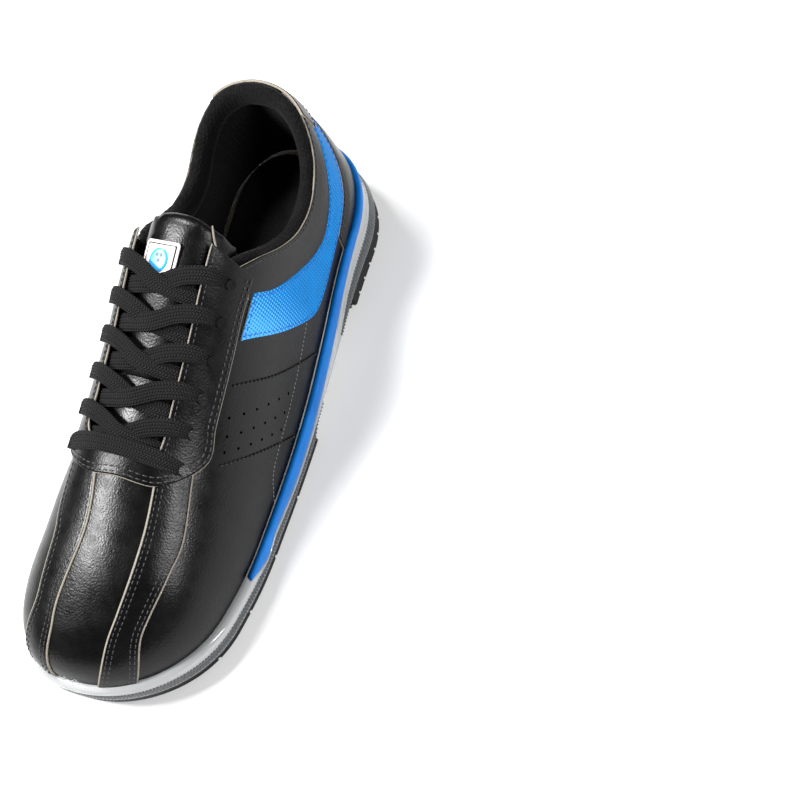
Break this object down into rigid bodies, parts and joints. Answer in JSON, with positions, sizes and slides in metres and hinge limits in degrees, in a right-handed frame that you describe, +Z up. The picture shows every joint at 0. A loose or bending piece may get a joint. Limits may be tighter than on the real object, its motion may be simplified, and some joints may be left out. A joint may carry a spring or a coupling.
{
  "type": "bowling shoe",
  "caption": "Laced low bowling shoe, left foot, with a sewn leather-look upper, a clear cup sole, a traction forefoot pad and a separate heel block.",
  "frame": {"origin": "on the ground, under the middle of the shoe's bounding box", "axes": "+Z up, the toe points to -Y, the outer side of the left foot is +X"},
  "size_m": [0.1078, 0.302, 0.1279],
  "materials": {
    "clear_rubber": "clear moulded TPR, glossy",
    "leather": "black smooth-grain synthetic leather",
    "blue_upper": "bright blue coated synthetic",
    "blue_rubber": "moulded blue rubber",
    "black_rubber": "moulded black rubber, matt",
    "knit": "black padded knit mesh",
    "foam": "white foam",
    "badge": "printed moulded badge",
    "steel": "spring steel",
    "board": "pressed fibre board",
    "braid": "flat braided polyester lace"
  },
  "bodies": {
    "shoe": {"clear_sole": "clear_rubber", "foxing_band": "blue_upper", "forefoot_tread": "black_rubber", "toe_insert": "blue_rubber", "rear_insert_lateral": "blue_rubber", "rear_insert_medial": "blue_rubber", "heel_tread": "black_rubber", "heel_insert_lateral": "blue_rubber", "heel_insert_medial": "blue_rubber", "shank_window": "clear_rubber", "shank_badge": "badge", "midsole": "foam", "shank_plate": "steel", "insole_board": "board", "lining": "knit", "toe_puff": "board", "heel_counter": "board", "vamp_plug": "leather", "vamp_band_lateral": "leather", "vamp_band_medial": "leather", "vamp_side_lateral": "leather", "vamp_side_medial": "leather", "quarter_lateral": "leather", "quarter_medial": "leather", "eyestay": "leather", "strap_lateral": "blue_upper", "strap_medial": "blue_upper", "collar_panel_lateral": "leather", "collar_panel_medial": "leather", "heel_cover": "leather", "heel_tab": "leather", "collar_padding": "knit", "lace": "braid"},
    "tongue": {"tongue": "knit", "tongue_badge": "badge", "lace_keeper": "leather"},
    "footbed": {"footbed": "knit"}
  },
  "joints": [
    {"name": "tongue_hinge", "type": "hinge", "parent": "shoe", "child": "tongue", "pos_m": [0, -0.052, 0.072], "axis": [1, 0, 0], "range_deg": [-5, 0]},
    {"name": "footbed_slide", "type": "slide", "parent": "shoe", "child": "footbed", "axis": [0, 0, 1], "range_m": [0, 0.006]}
  ]
}
